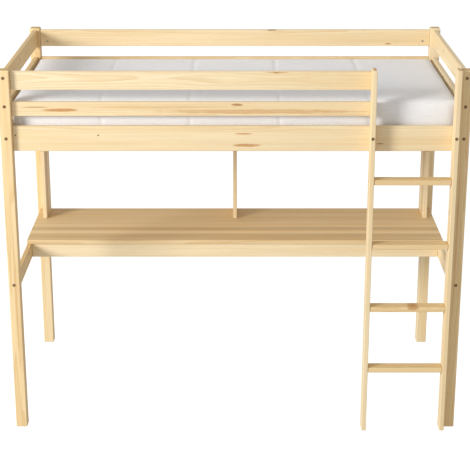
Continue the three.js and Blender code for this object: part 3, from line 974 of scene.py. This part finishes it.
def build_ticking():
    """Plain weave: warp and weft threads of about a millimetre, uneven like spun yarn."""
    material, tree = blank_material("woven_ticking")
    cloth = put(tree, "UVMap", uv_map="weave").outputs["UV"]
    uneven = put(tree, "TexNoise", {"Vector": cloth, "Scale": 90.0, "Detail": 3.0}).outputs["Color"]
    uneven = scaled(tree, vectors(tree, "SUBTRACT", uneven, (0.5, 0.5, 0.5)), 0.0006)
    parts = put(tree, "SeparateXYZ", {0: vectors(tree, "ADD", cloth, uneven)}).outputs
    warp = maths(tree, "SINE", maths(tree, "MULTIPLY", parts[0], 2 * math.pi / THREAD))
    weft = maths(tree, "SINE", maths(tree, "MULTIPLY", parts[1], 2 * math.pi / THREAD))
    over = maths(tree, "MULTIPLY", warp, weft)
    slub, cross = [put(tree, "TexNoise", {
        "Vector": vectors(tree, "MULTIPLY", cloth, stretch), "Scale": 1.0, "Detail": 3.0}).outputs[0]
        for stretch in ((12.0, 260.0, 1.0), (260.0, 12.0, 1.0))]
    soft = put(tree, "TexNoise", {"Vector": cloth, "Scale": 3.5, "Detail": 3.0}).outputs[0]
    yarn = maths(tree, "ADD", slub, cross)
    shade = smooth_step(tree, yarn, 0.7, 1.3, 0.965, 1.02)
    shade = maths(tree, "MULTIPLY", shade, smooth_step(tree, over, -1.0, 1.0, 0.96, 1.02))
    shade = maths(tree, "MULTIPLY", shade, smooth_step(tree, soft, 0.3, 0.7, 0.985, 1.01))
    colour = scaled(tree, (0.89, 0.885, 0.895), shade)
    rough = smooth_step(tree, yarn, 0.7, 1.3, 0.84, 0.95)
    height = maths(tree, "MULTIPLY_ADD", over, 0.5, yarn)
    bump = put(tree, "Bump", {"Strength": 0.5, "Distance": 0.0005, "Height": height})
    cover = put(tree, "BsdfPrincipled", {
        "Base Color": colour, "Roughness": rough, "Normal": bump.outputs[0], "Sheen Weight": 0.15,
        "Sheen Roughness": 0.4, "IOR": 1.4})
    put(tree, "OutputMaterial", {"Surface": cover.outputs[0]})
    return material


def foam_core(low, high):
    """The mattress before its cover is drawn on: a block a little small, as a net of small squares."""
    inset = Vector((COVER_SLACK, COVER_SLACK, 0))
    low = low + inset
    high = high - inset - Vector((0, 0, COVER_SLACK))
    mesh = block(high - low, (low + high) / 2)
    upright = [edge for edge in mesh.edges if abs(edge.verts[0].co.z - edge.verts[1].co.z) > 0.01]
    bmesh.ops.bevel(mesh, geom=upright, offset=COVER_CORNER, offset_type="OFFSET", affect="EDGES",
                    segments=4, profile=0.5, material=-1)
    rims = [edge for edge in mesh.edges if abs(edge.verts[0].co.z - edge.verts[1].co.z) < 1e-6
            and edge.calc_face_angle() > 1.0]
    bmesh.ops.bevel(mesh, geom=rims, offset=COVER_EDGE, offset_type="OFFSET", affect="EDGES",
                    segments=3, profile=0.5, material=-1)
    for axis in range(3):
        margin = COVER_EDGE if axis == 2 else COVER_CORNER
        first, last = low[axis] + margin, high[axis] - margin
        count = max(4, round((last - first) / NET_SIZE))
        cuts = [first + (last - first) * step / count for step in range(count + 1)]
        if axis == 0:
            room = (FINE_STEPS + 1) * FINE_STEP
            cuts = [cut for cut in cuts if min(abs(cut - fold) for fold in CREASES) > room]
            cuts += [fold + step * FINE_STEP for fold in CREASES
                     for step in range(-FINE_STEPS, FINE_STEPS + 1)]
        normal = Vector((axis == 0, axis == 1, axis == 2))
        for cut in sorted(cuts):
            bmesh.ops.bisect_plane(mesh, geom=mesh.verts[:] + mesh.edges[:] + mesh.faces[:], dist=1e-5,
                                   plane_co=normal * cut, plane_no=normal)
    return mesh


def points(mesh):
    """The places of all points of a mesh, one row each."""
    flat = np.zeros(len(mesh.vertices) * 3)
    mesh.vertices.foreach_get("co", flat)
    return flat.reshape(-1, 3)


def swell(item):
    """The foam presses the cover out: a short cloth simulation, with a limit on how far it may go."""
    scene = bpy.context.scene
    rest = points(item.data)
    held = item.vertex_groups.new(name="underside")
    low_down = np.flatnonzero(rest[:, 2] < rest[:, 2].min() + HELD_HEIGHT)
    held.add([int(index) for index in low_down], 1.0, "REPLACE")
    cloth = item.modifiers.new("swell", "CLOTH")
    cloth.settings.quality = 4
    cloth.settings.mass = 30               # heavy, so that it swells slowly and the same way each time
    cloth.settings.tension_stiffness = 12
    cloth.settings.compression_stiffness = 12
    cloth.settings.shear_stiffness = 6
    cloth.settings.bending_stiffness = 1.5
    cloth.settings.use_pressure = True
    cloth.settings.uniform_pressure_force = 4
    cloth.settings.vertex_group_mass = "underside"
    cloth.settings.effector_weights.gravity = 0
    cloth.point_cache.frame_start = 1
    cloth.point_cache.frame_end = SWELL_FRAMES
    for moment in range(1, SWELL_FRAMES + 1):
        scene.frame_set(moment)
    swollen = item.evaluated_get(bpy.context.evaluated_depsgraph_get()).to_mesh()
    moved = points(swollen) - rest
    scene.frame_set(1)
    item.modifiers.remove(cloth)
    item.vertex_groups.clear()
    far = np.linalg.norm(moved, axis=1)
    share = np.minimum(1.0, COVER_SLACK / np.maximum(far, 1e-9))
    item.data.vertices.foreach_set("co", (rest + moved * share[:, None]).ravel())
    item.data.update()


def crease(item, low, high):
    """Presses in the folds the foam was packed along, and the slight unevenness of soft foam."""
    place = points(item.data)
    middle_y = (low.y + high.y) / 2
    inward = np.zeros_like(place)
    near_top = np.clip((place[:, 2] - low.z - 0.02) / 0.03, 0, 1)
    inward[:, 2] = -np.clip((place[:, 2] - (high.z - 0.03)) / 0.02, 0, 1)
    aside = place[:, 1] - middle_y
    inward[:, 1] = np.clip((np.abs(aside) - ((high.y - low.y) / 2 - 0.03)) / 0.02, 0, 1)
    inward[:, 1] *= -np.sign(aside)
    for fold in CREASES:
        wander = 0.004 * np.sin(place[:, 1] * 9.0 + fold * 20.0)
        valley = np.exp(-((place[:, 0] - fold - wander) / CREASE_REACH) ** 2)
        place += inward * (valley * near_top * CREASE_DEPTH)[:, None]
    ripple = [noise.noise(Vector((x * 3.1, y * 4.3, z * 5.0))) for x, y, z in place]
    place[:, 2] += np.array(ripple) * near_top * UNEVENNESS
    item.data.vertices.foreach_set("co", place.ravel())
    item.data.update()


def corded_seam(item, low, high):
    """The cord in the seam round the top, laid on the cover wherever the foam has pressed it to."""
    surface = BVHTree.FromPolygons([point.co for point in item.data.vertices],
                                   [face.vertices for face in item.data.polygons])
    level = high.z - SEAM_DROP
    radius = COVER_CORNER
    path = []
    corners = [(high.x - radius, high.y - radius, 0), (low.x + radius, high.y - radius, 90),
               (low.x + radius, low.y + radius, 180), (high.x - radius, low.y + radius, 270)]
    for index, (x, y, start) in enumerate(corners):
        for step in range(7):
            turn = math.radians(start + step * 15)
            path.append(Vector((x + radius * math.cos(turn), y + radius * math.sin(turn), level)))
        onward = corners[(index + 1) % 4]
        turn = math.radians(onward[2])
        end = Vector((onward[0] + radius * math.cos(turn), onward[1] + radius * math.sin(turn), level))
        begin = path[-1]
        count = round((end - begin).length / SEAM_STEP)
        path += [begin.lerp(end, step / count) for step in range(1, count)]
    spots = [surface.find_nearest(place) for place in path]
    mesh = bmesh.new()
    rings = []
    for index, (place, outward, _, _) in enumerate(spots):
        ahead = spots[(index + 1) % len(spots)][0] - spots[index - 1][0]
        outward = (outward - outward.project(ahead)).normalized()
        aside = ahead.cross(outward).normalized()
        turns = [math.tau * side / SEAM_SIDES for side in range(SEAM_SIDES)]
        rings.append([mesh.verts.new(place + SEAM_RADIUS * (
            math.cos(turn) * outward + math.sin(turn) * aside)) for turn in turns])
    for ring, following in zip(rings, rings[1:] + rings[:1]):
        for side in range(SEAM_SIDES):
            after = (side + 1) % SEAM_SIDES
            mesh.faces.new([ring[side], ring[after], following[after], following[side]])
    bmesh.ops.recalc_face_normals(mesh, faces=mesh.faces)
    mesh.from_mesh(item.data)
    mesh.to_mesh(item.data)
    mesh.free()


def lay_weave(mesh):
    """Lays the weave over each side of the cover, in metres."""
    layer = mesh.uv_layers.new(name="weave")
    for face in mesh.polygons:
        away = max(range(3), key=lambda axis: abs(face.normal[axis]))
        first, second = [axis for axis in range(3) if axis != away]
        for corner in face.loop_indices:
            place = mesh.vertices[mesh.loops[corner].vertex_index].co
            layer.data[corner].uv = (place[first], place[second])


def build_mattress():
    low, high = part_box("mattress")
    core = foam_core(low, high)
    net = bpy.data.meshes.new("mattress_cover")
    core.to_mesh(net)
    core.free()
    cover = bpy.data.objects.new("mattress_cover", net)
    bpy.context.scene.collection.objects.link(cover)
    swell(cover)
    finer = cover.modifiers.new("finer", "SUBSURF")
    finer.levels = finer.render_levels = 1
    fine = bpy.data.meshes.new_from_object(cover.evaluated_get(bpy.context.evaluated_depsgraph_get()))
    cover.modifiers.remove(finer)
    cover.data = fine
    crease(cover, low, high)
    corded_seam(cover, low, high)
    lay_weave(fine)
    fine.materials.clear()
    fine.materials.append(build_ticking())
    fine.shade_smooth()
    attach(cover, "mattress")
    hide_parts("mattress")


build_mattress()
